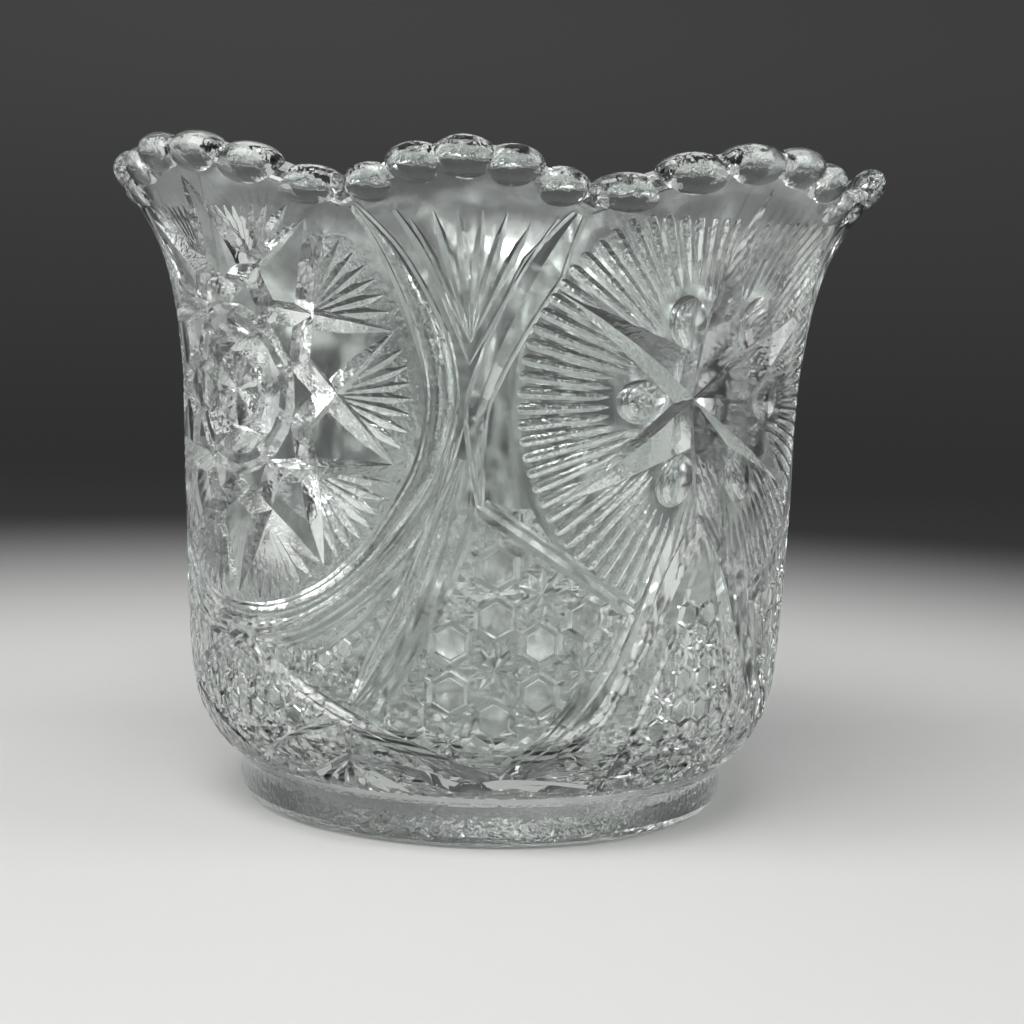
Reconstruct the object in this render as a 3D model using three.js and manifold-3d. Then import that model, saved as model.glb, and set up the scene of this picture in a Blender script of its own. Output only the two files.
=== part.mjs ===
// Spoon holder in pressed clear glass: one solid piece, standing on its foot ring.
// Millimetres, +Z up, origin at the middle of the foot's contact ring.
// Angles run round the wall in degrees, from the front (-Y) towards the right (+X).

import * as THREE from 'three';
import { mergeVertices } from 'three/addons/utils/BufferGeometryUtils.js';
import Module from 'manifold-3d';

// Foot and base
const footRadius = 38;
const footSideHeight = 4.2;
const footEdgeRound = 1.2;
const contactOuterInset = 2.2;
const contactWidth = 4.5;
const footRecessDepth = 2.2;
const neckRadius = 38.8;
const neckRise = 3.0;

// Wall, measured upwards from the neck
const turnRise = 5.0;
const turnInset = 2.8;
const bodyRadius = 46.4;
const bodyRise = 10.5;
const waistRadius = 48.1;
const waistRise = 46;
const flareRadius = 51.0;
const flareRise = 14.5;
const lipRadius = 59.3;
const lipRise = 13.5;
const wallThickness = 6.2;
const lipThickness = 3.8;
const floorThickness = 9.5;
const floorCornerRadius = 9;

// Scalloped and beaded edge
const fanScallopWidth = 35.5;
const fanScallopRise = 5.7;
const medallionScallopRise = 6.6;
const scallopValleyBelowLip = 5.4;
const beadThickness = 4.8;
const beadLength = 6.4;
const beadTilt = 45;
const beadNeckShare = 0.7;
const beadSwell = [[-0.18, 1], [0.18, 1], [0.5, beadNeckShare]];
const fanBeadAngles = [-13, -6.3, 0, 6.3, 13];
const medallionBeadAngles = [-22.1, -13.2, -4.4, 4.4, 13.2, 22.1];

// Pattern layout
const medallionPairs = 2;
const fanAngle = -4.3;
const medallionHeight = 65;
const quarterTurn = 45;

// Six-rayed medallion
const rayCount = 6;
const rayLength = 29.5;
const rayWidth = 9.3;
const rayDepth = 4.0;
const thumbprintDistance = 12.8;
const thumbprintRadius = 3.4;
const thumbprintDepth = 1.3;

// Ten-pointed medallion
const starPoints = 10;
const starTipDistance = 29.5;
const starNodeDistance = 18.2;
const starInnerDistance = 11.5;
const starWidth = 4.2;
const starDepth = 2.4;
const jewelRadius = 5.2;
const jewelMoatWidth = 4.2;
const jewelMoatDepth = 3.0;

// Grooves between the medallions, as places of [angle from the star, height, width, depth].
// Each is cut on both sides of the star.
const ringBand = [
  [0, 32.5, 2.4, 0.9],
  [14, 34.4, 2.4, 0.9],
  [26, 40.2, 2.4, 0.9],
  [35, 48.8, 2.4, 0.9],
  [40, 57.8, 2.4, 0.9],
  [41.4, 66, 2.8, 1.0],
  [38.6, 76.2, 3.3, 1.1],
  [34, 84.2, 3.0, 1.0],
  [29.2, 90.8, 0.5, 0.3],
];
const outerBand = [
  [3, 29.8, 2.4, 0.8],
  [19, 33, 2.8, 0.9],
  [32, 41.3, 2.8, 0.9],
  [40.5, 52, 2.4, 0.8],
  [43, 59, 0.8, 0.3],
];
const archArm = [
  [60.9, 90.2, 1.6, 0.8],
  [56.7, 83, 4.4, 1.7],
  [50.5, 72, 3.0, 1.4],
  [47.1, 64, 2.4, 1.1],
  [47.3, 57, 1.4, 0.8],
  [48.1, 50, 0.3, 0.2],
];
const leafGroove = [
  [44.9, 57, 0.5, 0.2],
  [41.2, 47, 2.8, 1.0],
  [36.9, 37.6, 2.8, 1.0],
  [31.5, 29, 2.4, 0.9],
  [26.3, 22, 0.5, 0.2],
];
const mitreArc = [
  [90, 48.8, 2.6, 2.0],
  [82.3, 39.6, 2.2, 1.7],
  [74.3, 27, 2.0, 1.5],
  [63.8, 15.5, 0.4, 0.2],
];
const panelTop = [
  [47.3, 50.5, 1.5, 1.1],
  [61.3, 43, 1.5, 1.1],
  [75.3, 35.5, 1.5, 1.1],
];
const panelRight = [
  [75.3, 35.5, 1.5, 1.1],
  [65.3, 22, 1.5, 1.1],
  [52.8, 11.3, 1.5, 1.1],
];
const panelLeft = [
  [47.3, 50.5, 1.5, 1.1],
  [38.3, 31, 1.5, 1.1],
  [30.6, 20.6, 1.5, 1.1],
];
const diagonal = [
  [0, 29.6, 1.5, 1.1],
  [12.6, 24.9, 1.5, 1.1],
  [25.3, 20.1, 1.5, 1.1],
  [39, 15.6, 1.5, 1.1],
  [52.8, 11.3, 1.5, 1.1],
];

// Fan above the arms: a root place, then [share of the turn, height, width, depth] along each flute
const fanRoot = [45.8, 75, 0.5, 0.3];
const fanMiddle = [0.5, 83, 1.6, 0.9];
const fanTip = [1, 90.4, 2.0, 1.0];
const fanTurns = [-7.2, -1.2, 5];

// Mesh fineness
const wallSides = 48;
const turnRows = 2;
const bodyRows = 1;
const flareRows = 4;
const cornerTurns = [30, 60, 90];
const beadSides = 5;
const thumbprintSides = 8;
const moatSides = 10;
const sectionSpacing = 12;
const cutterLift = 2.4;
const shortestEdge = 0.03;

const degree = Math.PI / 180;
const wasm = await Module();
wasm.setup();

// Heights that follow from the rises, and the turn of the wall below the body
const neckHeight = footSideHeight + neckRise;
const turnHeight = neckHeight + turnRise;
const bodyHeight = turnHeight + bodyRise;
const waistHeight = bodyHeight + waistRise;
const flareHeight = waistHeight + flareRise;
const lipHeight = flareHeight + lipRise;
const turnRadius = bodyRadius - turnInset;

const wallCurve = new THREE.SplineCurve([
  new THREE.Vector2(neckRadius, neckHeight),
  new THREE.Vector2(turnRadius, turnHeight),
  new THREE.Vector2(bodyRadius, bodyHeight),
  new THREE.Vector2((bodyRadius + waistRadius) / 2, (bodyHeight + waistHeight) / 2),
  new THREE.Vector2(waistRadius, waistHeight),
  new THREE.Vector2(flareRadius, flareHeight),
  new THREE.Vector2(lipRadius, lipHeight),
]);
const wallSamples = wallCurve.getPoints(300);

// Outer radius and slope of the wall at a height
function wallAt(z) {
  let i = wallSamples.findIndex((p) => p.y >= z);
  if (i < 0) i = wallSamples.length - 1;
  i = Math.max(1, i);
  const a = wallSamples[i - 1];
  const b = wallSamples[i];
  const slope = (b.x - a.x) / (b.y - a.y);
  return { radius: a.x + (z - a.y) * slope, slope };
}

// A point that lies `lift` outside the wall, with the wall's outward direction there
function onWall(angle, z, lift = 0) {
  const { radius, slope } = wallAt(z);
  const length = Math.hypot(1, slope);
  const around = new THREE.Vector3(Math.sin(angle * degree), -Math.cos(angle * degree), 0);
  const normal = around.clone().divideScalar(length).setZ(-slope / length);
  const point = around.clone().multiplyScalar(radius).setZ(z).addScaledVector(normal, lift);
  return { point, normal };
}

function toSolid(geometry) {
  geometry.deleteAttribute('normal');
  geometry.deleteAttribute('uv');
  const merged = mergeVertices(geometry, 1e-4);
  const position = merged.attributes.position;
  const index = Array.from(merged.index.array);
  const a = new THREE.Vector3();
  const b = new THREE.Vector3();
  const c = new THREE.Vector3();
  const kept = [];
  let volume = 0;
  for (let i = 0; i < index.length; i += 3) {
    const [p, q, r] = index.slice(i, i + 3);
    if (p === q || q === r || r === p) continue;
    kept.push(p, q, r);
    a.fromBufferAttribute(position, p);
    b.fromBufferAttribute(position, q);
    c.fromBufferAttribute(position, r);
    volume += a.dot(b.cross(c));
  }
  if (volume < 0) kept.reverse();
  return new wasm.Manifold(new wasm.Mesh({
    numProp: 3,
    vertProperties: new Float32Array(position.array),
    triVerts: new Uint32Array(kept),
  }));
}

function fromArrays(vertices, triangles) {
  const geometry = new THREE.BufferGeometry();
  geometry.setAttribute('position', new THREE.Float32BufferAttribute(vertices, 3));
  geometry.setIndex(triangles);
  return toSolid(geometry);
}

// A closed solid from rings of points, each ring a list of the same length; the ends are fans
function fromRings(rings) {
  const count = rings[0].length;
  const vertices = rings.flat().flatMap((point) => point.toArray());
  const triangles = [];
  for (let i = 1; i < rings.length; i += 1) {
    const p = count * (i - 1);
    const q = count * i;
    for (let k = 0; k < count; k += 1) {
      const m = (k + 1) % count;
      triangles.push(p + k, p + m, q + m, p + k, q + m, q + k);
    }
  }
  const last = count * (rings.length - 1);
  for (let k = 1; k + 1 < count; k += 1) {
    triangles.push(0, k + 1, k, last, last + k, last + k + 1);
  }
  return fromArrays(vertices, triangles);
}

// A solid that runs round in a closed loop of sections
function closedLoop(rings) {
  const count = rings[0].length;
  const vertices = rings.flat().flatMap((point) => point.toArray());
  const triangles = [];
  rings.forEach((unused, i) => {
    const p = count * i;
    const q = count * ((i + 1) % rings.length);
    for (let k = 0; k < count; k += 1) {
      const m = (k + 1) % count;
      triangles.push(p + k, p + m, q + m, p + k, q + m, q + k);
    }
  });
  return fromArrays(vertices, triangles);
}

// A V groove that follows places {angle, z} on the wall, with a width and a depth at each
function groove(places, closed = false) {
  const sections = places.map((place) => ({ ...place, ...onWall(place.angle, place.z) }));
  const rings = sections.map((section, i) => {
    const last = sections.length - 1;
    const before = closed ? sections.at(i - 1).point : sections[Math.max(0, i - 1)].point;
    const after = closed ? sections[(i + 1) % sections.length].point : sections[Math.min(last, i + 1)].point;
    const along = after.clone().sub(before).normalize();
    const side = section.normal.clone().cross(along).normalize();
    const halfTop = (section.width / 2) * (1 + cutterLift / section.depth);
    const top = section.point.clone().addScaledVector(section.normal, cutterLift);
    return [
      top.clone().addScaledVector(side, halfTop),
      top.clone().addScaledVector(side, -halfTop),
      section.point.clone().addScaledVector(section.normal, -section.depth),
    ];
  });
  return closed ? closedLoop(rings) : fromRings(rings);
}

// Places in a medallion's own flat frame: across and up from its centre
function inMedallion(centreAngle, across, up) {
  return {
    angle: centreAngle + across / (waistRadius * degree),
    z: medallionHeight + up,
  };
}

// A straight groove between two flat points of a medallion, by the share of its length
function straightGroove(centreAngle, from, to, widthAt, depthAt) {
  const length = Math.hypot(to[0] - from[0], to[1] - from[1]);
  const steps = Math.max(2, Math.ceil(length / sectionSpacing));
  const places = [];
  for (let i = 0; i <= steps; i += 1) {
    const t = i / steps;
    const across = from[0] + (to[0] - from[0]) * t;
    const up = from[1] + (to[1] - from[1]) * t;
    places.push({
      ...inMedallion(centreAngle, across, up),
      width: widthAt(t),
      depth: depthAt(t),
    });
  }
  return groove(places);
}

function polar(distance, angle) {
  return [distance * Math.cos(angle * degree), distance * Math.sin(angle * degree)];
}

function spread(from, to, rows) {
  return Array.from({ length: rows }, (unused, i) => from + ((to - from) * i) / rows);
}

// Heights of the wall's rows up to the waist: close together where it turns in to the foot
function lowerHeights() {
  return [
    ...spread(neckHeight, turnHeight, 2),
    ...spread(turnHeight, bodyHeight, turnRows),
    ...spread(bodyHeight, waistHeight, bodyRows),
  ];
}

// The plain glass, as rings from under the foot, up the wall, over the edge and down the hollow
function makeBlank() {
  const contactOuter = footRadius - contactOuterInset;
  const contactInner = contactOuter - contactWidth;
  const floorHeight = footRecessDepth + floorThickness;
  const cornerTop = floorHeight + floorCornerRadius;
  const corner = onWall(90, cornerTop, -wallThickness).point.x - floorCornerRadius;
  const foot = [
    [contactInner - 2 * footRecessDepth, footRecessDepth],
    [contactInner, 0],
    [contactOuter, 0],
    [footRadius - footEdgeRound / 2, footEdgeRound / 2],
    [footRadius, footEdgeRound * 1.5],
    [footRadius, footSideHeight],
    [footRadius - footEdgeRound / 2, footSideHeight + footEdgeRound],
  ];
  const upperHeights = [...spread(waistHeight, lipHeight, flareRows), lipHeight];
  const floorCorner = cornerTurns.map((turn) => [
    corner + floorCornerRadius * Math.cos(turn * degree),
    cornerTop - floorCornerRadius * Math.sin(turn * degree),
  ]);
  return fromRings([
    ...foot.map(([radius, z]) => plainRing(radius, z)),
    ...lowerHeights().map((z) => plainRing(wallAt(z).radius, z)),
    ...upperHeights.map((z) => scallopedRing(z, 0)),
    ...upperHeights.reverse().map((z) => {
      const share = THREE.MathUtils.smoothstep(z, waistHeight, lipHeight);
      return scallopedRing(z, wallThickness + (lipThickness - wallThickness) * share);
    }),
    plainRing(corner + floorCornerRadius, cornerTop),
    ...floorCorner.map(([radius, z]) => plainRing(radius, z)),
  ]);
}

function plainRing(radius, z) {
  return Array.from({ length: wallSides }, (unused, i) => {
    const angle = (360 * i * degree) / wallSides;
    return new THREE.Vector3(radius * Math.sin(angle), -radius * Math.cos(angle), z);
  });
}

// A ring above the waist, at a depth inside the wall, whose height follows the scallops
function scallopedRing(z, inside) {
  const share = (z - waistHeight) / (lipHeight - waistHeight);
  return Array.from({ length: wallSides }, (unused, i) => {
    const angle = (360 * i) / wallSides;
    const height = z + (edgeHeight(angle - fanAngle) - lipHeight) * share;
    return onWall(angle, height, -inside).point;
  });
}

// Height of the beads' middle line at an angle measured from the fan scallop
function edgeHeight(angle) {
  const turn = 2 * quarterTurn;
  const offset = THREE.MathUtils.euclideanModulo(angle + turn / 2, turn) - turn / 2;
  const fromFan = Math.abs(offset);
  const valley = lipHeight - scallopValleyBelowLip;
  const fanHalf = fanScallopWidth / 2;
  if (fromFan <= fanHalf) {
    return valley + fanScallopRise * Math.cos(90 * degree * (fromFan / fanHalf));
  }
  const medallionHalf = quarterTurn - fanHalf;
  const share = (quarterTurn - fromFan) / medallionHalf;
  return valley + medallionScallopRise * Math.cos(90 * degree * share);
}

// Angles of all beads, in order round the edge
function beadAngles() {
  const angles = [];
  for (let quarter = 0; quarter < 4; quarter += 1) {
    const fan = fanAngle + quarter * 2 * quarterTurn;
    fanBeadAngles.forEach((angle) => angles.push(fan + angle));
    medallionBeadAngles.forEach((angle) => angles.push(fan + quarterTurn + angle));
  }
  return angles;
}

// The beaded edge: an oval section that leans out with the flare and swells at each bead
function makeBeadedEdge() {
  const angles = beadAngles();
  const stations = [];
  angles.forEach((angle, i) => {
    const next = i + 1 < angles.length ? angles[i + 1] : angles[0] + 360;
    for (const [share, swell] of beadSwell) {
      stations.push({ angle: angle + (next - angle) * share, swell });
    }
  });
  const rings = stations.map(({ angle, swell }) => {
    const z = edgeHeight(angle - fanAngle);
    const radius = wallAt(z).radius - lipThickness / 2;
    return Array.from({ length: beadSides }, (unused, k) => {
      const turn = (360 * k) / beadSides;
      const long = (beadLength / 2) * swell * Math.cos(turn * degree);
      const thick = (beadThickness / 2) * swell * Math.sin(turn * degree);
      const out = long * Math.cos(beadTilt * degree) - thick * Math.sin(beadTilt * degree);
      const up = long * Math.sin(beadTilt * degree) + thick * Math.cos(beadTilt * degree);
      return new THREE.Vector3(
        (radius + out) * Math.sin(angle * degree),
        -(radius + out) * Math.cos(angle * degree),
        z + up,
      );
    });
  });
  return closedLoop(rings);
}

// A shallow round dish in the wall
function thumbprint(place) {
  const { point, normal } = onWall(place.angle, place.z);
  const facing = new THREE.Quaternion().setFromUnitVectors(new THREE.Vector3(0, 0, 1), normal);
  const levels = [
    [0.45, -thumbprintDepth],
    [0.8, -thumbprintDepth * 0.65],
    [1.2, cutterLift * 0.6],
  ];
  const rings = levels.map(([share, depth]) => {
    return Array.from({ length: thumbprintSides }, (unused, i) => {
      const turn = (360 * i * degree) / thumbprintSides;
      const radius = thumbprintRadius * share;
      return new THREE.Vector3(radius * Math.cos(turn), radius * Math.sin(turn), depth)
        .applyQuaternion(facing)
        .add(point);
    });
  });
  return fromRings(rings);
}

// Deep rays and thumbprints of the six-rayed medallion
function rayMedallion(centreAngle) {
  const cutters = [];
  const taper = (size) => (t) => Math.max(0.06, size * (1 - t));
  for (let ray = 0; ray < rayCount; ray += 1) {
    const angle = (ray + 0.5) * (360 / rayCount);
    const tip = polar(rayLength, angle);
    cutters.push(straightGroove(centreAngle, [0, 0], tip, taper(rayWidth), taper(rayDepth)));
    const [across, up] = polar(thumbprintDistance, ray * (360 / rayCount));
    const place = inMedallion(centreAngle, across, up);
    cutters.push(thumbprint(place));
  }
  return cutters;
}

// Star points, jewel and its moat in the ten-pointed medallion
function starMedallion(centreAngle) {
  const cutters = [];
  const step = 360 / starPoints;
  for (let point = 0; point < starPoints; point += 1) {
    const tip = polar(starTipDistance, (point + 0.5) * step);
    for (const side of [0, 1]) {
      const node = polar(starNodeDistance, (point + side) * step);
      const reach = Math.hypot(tip[0] - node[0], tip[1] - node[1]);
      const extra = (starNodeDistance - starInnerDistance) / reach;
      const end = [node[0] + (node[0] - tip[0]) * extra, node[1] + (node[1] - tip[1]) * extra];
      const grow = (size) => (t) => Math.max(0.06, size * Math.min(1, t * (1 + extra)));
      cutters.push(straightGroove(centreAngle, tip, end, grow(starWidth), grow(starDepth)));
    }
  }
  const moat = Array.from({ length: moatSides }, (unused, i) => ({
    ...inMedallion(centreAngle, ...polar(jewelRadius + jewelMoatWidth / 2, (360 * i) / moatSides)),
    width: jewelMoatWidth,
    depth: jewelMoatDepth,
  }));
  cutters.push(groove(moat, true));
  return cutters;
}

// One flute of the fan, turned by some degrees at its tip
function fanFlute(turn) {
  const along = [fanMiddle, fanTip].map(([share, ...rest]) => [fanRoot[0] + turn * share, ...rest]);
  return [fanRoot, ...along];
}

// The grooves between the medallions, on one side of a star
function sideGrooves(starAngle, mirror) {
  const paths = [
    ringBand, outerBand, archArm, leafGroove, mitreArc, panelTop, panelRight, panelLeft, diagonal,
    ...fanTurns.map(fanFlute),
  ];
  return paths.map((path) => groove(path.map(([angle, z, width, depth]) => ({
    angle: starAngle + mirror * angle,
    z,
    width,
    depth,
  }))));
}

function makeCutters() {
  const cutters = [];
  for (let pair = 0; pair < medallionPairs; pair += 1) {
    const turn = (360 / medallionPairs) * pair;
    const star = fanAngle - quarterTurn + turn;
    const rays = fanAngle + quarterTurn + turn;
    cutters.push(...rayMedallion(rays), ...starMedallion(star));
    cutters.push(...sideGrooves(star, 1), ...sideGrooves(star, -1));
  }
  return cutters;
}

// Joins the two ends of each very short edge, and drops the faces that this flattens
function weldShortEdges(position, index) {
  const parent = Array.from({ length: position.length / 3 }, (unused, i) => i);
  const find = (i) => {
    let top = i;
    while (parent[top] !== top) top = parent[top];
    return top;
  };
  const distance = (a, b) => Math.hypot(
    position[3 * a] - position[3 * b],
    position[3 * a + 1] - position[3 * b + 1],
    position[3 * a + 2] - position[3 * b + 2],
  );
  for (let i = 0; i < index.length; i += 3) {
    for (const [p, q] of [[0, 1], [1, 2], [2, 0]]) {
      const a = find(index[i + p]);
      const b = find(index[i + q]);
      if (a !== b && distance(a, b) < shortestEdge) parent[Math.max(a, b)] = Math.min(a, b);
    }
  }
  const faces = new Map();
  for (let i = 0; i < index.length; i += 3) {
    const face = [find(index[i]), find(index[i + 1]), find(index[i + 2])];
    if (new Set(face).size < 3) continue;
    const key = [...face].sort((a, b) => a - b).join();
    if (faces.has(key)) faces.delete(key);
    else faces.set(key, face);
  }
  return [...faces.values()].flat();
}

function toMesh(solid, name, material) {
  const result = solid.getMesh();
  const geometry = new THREE.BufferGeometry();
  geometry.setAttribute('position', new THREE.BufferAttribute(result.vertProperties, 3));
  geometry.setIndex(weldShortEdges(result.vertProperties, result.triVerts));
  geometry.computeVertexNormals();
  const mesh = new THREE.Mesh(geometry, material);
  mesh.name = name;
  return mesh;
}

const clearGlass = new THREE.MeshStandardMaterial({
  color: 0xdfe8e4,
  roughness: 0.05,
  metalness: 0,
  transparent: true,
  opacity: 0.35,
});

const rimmed = makeBlank().add(makeBeadedEdge());
const finished = rimmed.subtract(wasm.Manifold.union(makeCutters()));

const spoonHolder = new THREE.Group();
spoonHolder.name = 'spoon_holder';
spoonHolder.add(toMesh(finished, 'glass_spoon_holder', clearGlass));

export default spoonHolder;
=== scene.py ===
import math
from functools import partial

import bpy
from mathutils import Matrix, Vector


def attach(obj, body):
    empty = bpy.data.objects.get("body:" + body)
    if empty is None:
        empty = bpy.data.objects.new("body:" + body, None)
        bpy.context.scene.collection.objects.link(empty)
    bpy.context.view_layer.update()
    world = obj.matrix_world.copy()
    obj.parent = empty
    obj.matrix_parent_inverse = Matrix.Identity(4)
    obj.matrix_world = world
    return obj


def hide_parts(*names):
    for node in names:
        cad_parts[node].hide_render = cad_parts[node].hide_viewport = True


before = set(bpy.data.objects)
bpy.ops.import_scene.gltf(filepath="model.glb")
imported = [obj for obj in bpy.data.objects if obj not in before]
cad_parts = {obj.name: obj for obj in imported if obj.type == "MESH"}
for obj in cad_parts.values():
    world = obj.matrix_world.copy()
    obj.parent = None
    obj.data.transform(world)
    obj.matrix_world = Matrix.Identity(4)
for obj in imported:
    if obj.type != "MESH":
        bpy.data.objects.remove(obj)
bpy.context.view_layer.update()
print("frame loaded")

# The glass is drawn in millimetres and turned into metres at the end. Stage, lamps and camera are in metres.
# Pattern lines are drawn flat: x runs round the wall from the middle of a star medallion, y is height.
wall = {
    "outline": [
        (4.0, 38.2), (7.2, 38.8), (9.4, 41.2), (12.0, 43.1), (15.0, 44.7), (19.0, 45.8),
        (25.0, 46.4), (35.0, 47.0), (45.0, 47.4), (58.0, 47.8), (66.0, 48.1), (72.0, 48.7),
        (77.0, 49.5), (82.0, 50.7), (86.0, 52.2), (90.0, 54.4), (94.0, 57.2), (99.0, 61.0),
    ],
    "arcRadius": 48.0,
    "starAngle": -49.3,
    "rayAngle": 40.7,
    "curveFrom": 30.0,
    "curveSpan": 40.0,
    "slopeStep": 0.6,
    "sides": 240,
    "thickness": 6.2,
    "lipThickness": 3.8,
}


def feed(tree, value, socket):
    if isinstance(value, bpy.types.NodeSocket):
        tree.links.new(value, socket)
    else:
        socket.default_value = value


def addNode(tree, kind, inputs=None, **settings):
    node = tree.nodes.new(kind)
    for name, value in settings.items():
        setattr(node, name, value)
    for key, value in (inputs or {}).items():
        feed(tree, value, node.inputs[key])
    return node


# inputs and outputs give the labels of the sockets by socket type
def newTree(name, kind, inputs, outputs):
    tree = bpy.data.node_groups.new(name, kind)
    for side, sockets in (("INPUT", inputs), ("OUTPUT", outputs)):
        for socketType, labels in sockets.items():
            for label in labels:
                tree.interface.new_socket(label, in_out=side, socket_type="NodeSocket" + socketType)
    given = tree.nodes.new("NodeGroupInput").outputs
    wanted = tree.nodes.new("NodeGroupOutput").inputs
    return tree, given, wanted


def outputOf(tree, kind, inputs=None, **settings):
    return addNode(tree, kind, inputs, **settings).outputs[0]


def mathNode(tree, operation, *values, kind="ShaderNodeMath"):
    return outputOf(tree, kind, dict(enumerate(values)), operation=operation)


def vectorNode(tree, operation, *values):
    return mathNode(tree, operation, *values, kind="ShaderNodeVectorMath")


# addNode, outputOf and mathNode with their tree filled in
def treeTools(tree):
    return [partial(tool, tree) for tool in (addNode, outputOf, mathNode)]


def useGroup(tree, group, inputs):
    return outputOf(tree, "GeometryNodeGroup", inputs, node_tree=group)


# Height to outer radius, as one curve that the nodes and the plain meshes share
def makeRadiusGroup():
    tree, given, wanted = newTree(
        "wallRadius", "GeometryNodeTree", {"Float": ["Height"]}, {"Float": ["Radius"]},
    )
    node, _, calc = treeTools(tree)
    low, high = wall["outline"][0][0], wall["outline"][-1][0]
    least, span = wall["curveFrom"], wall["curveSpan"]
    share = calc("DIVIDE", calc("SUBTRACT", given[0], low), high - low)
    curve = node("ShaderNodeFloatCurve", {"Value": share})
    points = curve.mapping.curves[0].points
    places = [((z - low) / (high - low), (radius - least) / span) for z, radius in wall["outline"]]
    points[0].location = places[0]
    points[-1].location = places[-1]
    for place in places[1:-1]:
        points.new(*place)
    curve.mapping.update()
    radius = calc("ADD", calc("MULTIPLY", curve.outputs[0], span), least)
    tree.links.new(radius, wanted[0])

    def radiusAt(z):
        share = min(1.0, max(0.0, (z - low) / (high - low)))
        return least + span * curve.mapping.evaluate(curve.mapping.curves[0], share)

    return tree, radiusAt


radiusGroup, radiusAt = makeRadiusGroup()


# A flat place (x round the wall, y height, z lift) set on the wall of revolution
def makeWallGroup():
    tree, given, wanted = newTree(
        "wallPosition", "GeometryNodeTree",
        {"Vector": ["Flat Position"], "Float": ["Arc Radius", "Start Angle"]},
        {"Vector": ["Wall Position"]},
    )
    node, put, calc = treeTools(tree)
    flat = node("ShaderNodeSeparateXYZ", {0: given["Flat Position"]}).outputs
    step = wall["slopeStep"]
    radius = useGroup(tree, radiusGroup, {"Height": flat["Y"]})
    above = useGroup(tree, radiusGroup, {"Height": calc("ADD", flat["Y"], step)})
    below = useGroup(tree, radiusGroup, {"Height": calc("SUBTRACT", flat["Y"], step)})
    slope = calc("DIVIDE", calc("SUBTRACT", above, below), 2 * step)
    length = calc("SQRT", calc("MULTIPLY_ADD", slope, slope, 1.0))
    lift = calc("DIVIDE", flat["Z"], length)
    reach = calc("ADD", radius, lift)
    height = calc("SUBTRACT", flat["Y"], calc("MULTIPLY", lift, slope))
    turn = calc("ADD", calc("DIVIDE", flat["X"], given["Arc Radius"]), given["Start Angle"])
    across = calc("MULTIPLY", reach, calc("SINE", turn))
    back = calc("MULTIPLY", calc("MULTIPLY", reach, calc("COSINE", turn)), -1.0)
    place = put("ShaderNodeCombineXYZ", {0: across, 1: back, 2: height})
    tree.links.new(place, wanted[0])
    return tree


wallGroup = makeWallGroup()


def onWall(angle, z, inside=0.0):
    step = wall["slopeStep"]
    slope = (radiusAt(z + step) - radiusAt(z - step)) / (2 * step)
    length = math.hypot(1, slope)
    reach = radiusAt(z) - inside / length
    turn = math.radians(angle)
    return Vector((reach * math.sin(turn), -reach * math.cos(turn), z + inside * slope / length))


# Scalloped edge: the line through the middle of the beads
edge = {
    "fanAngle": -4.3,
    "fanHalf": 17.75,
    "fanRise": 5.7,
    "medallionRise": 6.6,
    "valley": 91.3,
    "fanBeads": [(-13.0, 0.97), (-6.3, 1.0), (0.0, 1.04), (6.3, 1.0), (13.0, 0.97)],
    "medallionBeads": [(-22.1, 0.98), (-13.2, 1.02), (-4.4, 1.0), (4.4, 1.0), (13.2, 1.02), (22.1, 0.98)],
    "fanPitch": 6.5,
    "medallionPitch": 8.85,
    "beadWidthShare": 0.66,
    "beadLength": 6.6,
    "beadThickness": 4.9,
    "beadTilt": 45.0,
    "setIn": 0.4,
    "rollShare": 0.7,
    "rollSteps": 264,
    "rollSides": 12,
}


def edgeHeight(angle):
    offset = abs((angle - edge["fanAngle"] + 45) % 90 - 45)
    if offset <= edge["fanHalf"]:
        return edge["valley"] + edge["fanRise"] * math.cos(math.pi / 2 * offset / edge["fanHalf"])
    share = (45 - offset) / (45 - edge["fanHalf"])
    return edge["valley"] + edge["medallionRise"] * math.cos(math.pi / 2 * share)


def meshObject(name, vertices, edges=(), faces=(), attributes=None):
    mesh = bpy.data.meshes.new(name)
    mesh.from_pydata([tuple(v) for v in vertices], list(edges), list(faces))
    for label, values in (attributes or {}).items():
        kind = "FLOAT_VECTOR" if hasattr(values[0], "__len__") else "FLOAT"
        layer = mesh.attributes.new(label, kind, "POINT")
        if kind == "FLOAT":
            layer.data.foreach_set("value", values)
        else:
            layer.data.foreach_set("vector", [number for value in values for number in value])
    made = bpy.data.objects.new(name, mesh)
    bpy.context.scene.collection.objects.link(made)
    return made


def facesBetween(count, sides, closed=False):
    faces = []
    for i in range(count if closed else count - 1):
        j = (i + 1) % count
        for k in range(sides):
            m = (k + 1) % sides
            faces.append((sides * i + k, sides * i + m, sides * j + m, sides * j + k))
    return faces


# The finishes of the glass, in the order of the material slots on the body
glassSlots = ["clearGlass", "wallGlass", "satinGlass", "grainedGlass", "plungerGlass"]

# The plain body as pressed, before its beads and pattern: rings from under the foot round to the floor
body = {
    "waist": 62.0,
    "foot": [
        (26.9, 2.2), (31.3, 0.25), (31.9, 0.0), (35.2, 0.0), (36.3, 0.25), (37.3, 0.9), (37.9, 2.0),
        (38.1, 3.4), (38.1, 4.6), (37.9, 5.6), (37.9, 6.4),
    ],
    "wallHeights": [
        7.2, 8.2, 9.4, 10.6, 12.0, 13.5, 15.0, 17.0, 19.0, 22.0, 25.0, 30.0, 35.0, 40.0, 45.0, 50.0, 56.0,
    ],
    "upperRows": 16,
    "innerHeights": [56.0, 45.0, 34.0, 23.0],
    "floorHeight": 11.7,
    "floorCorner": 9.0,
    "cornerStep": 10,
    "topBelowBeads": 1.0,
}


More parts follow.
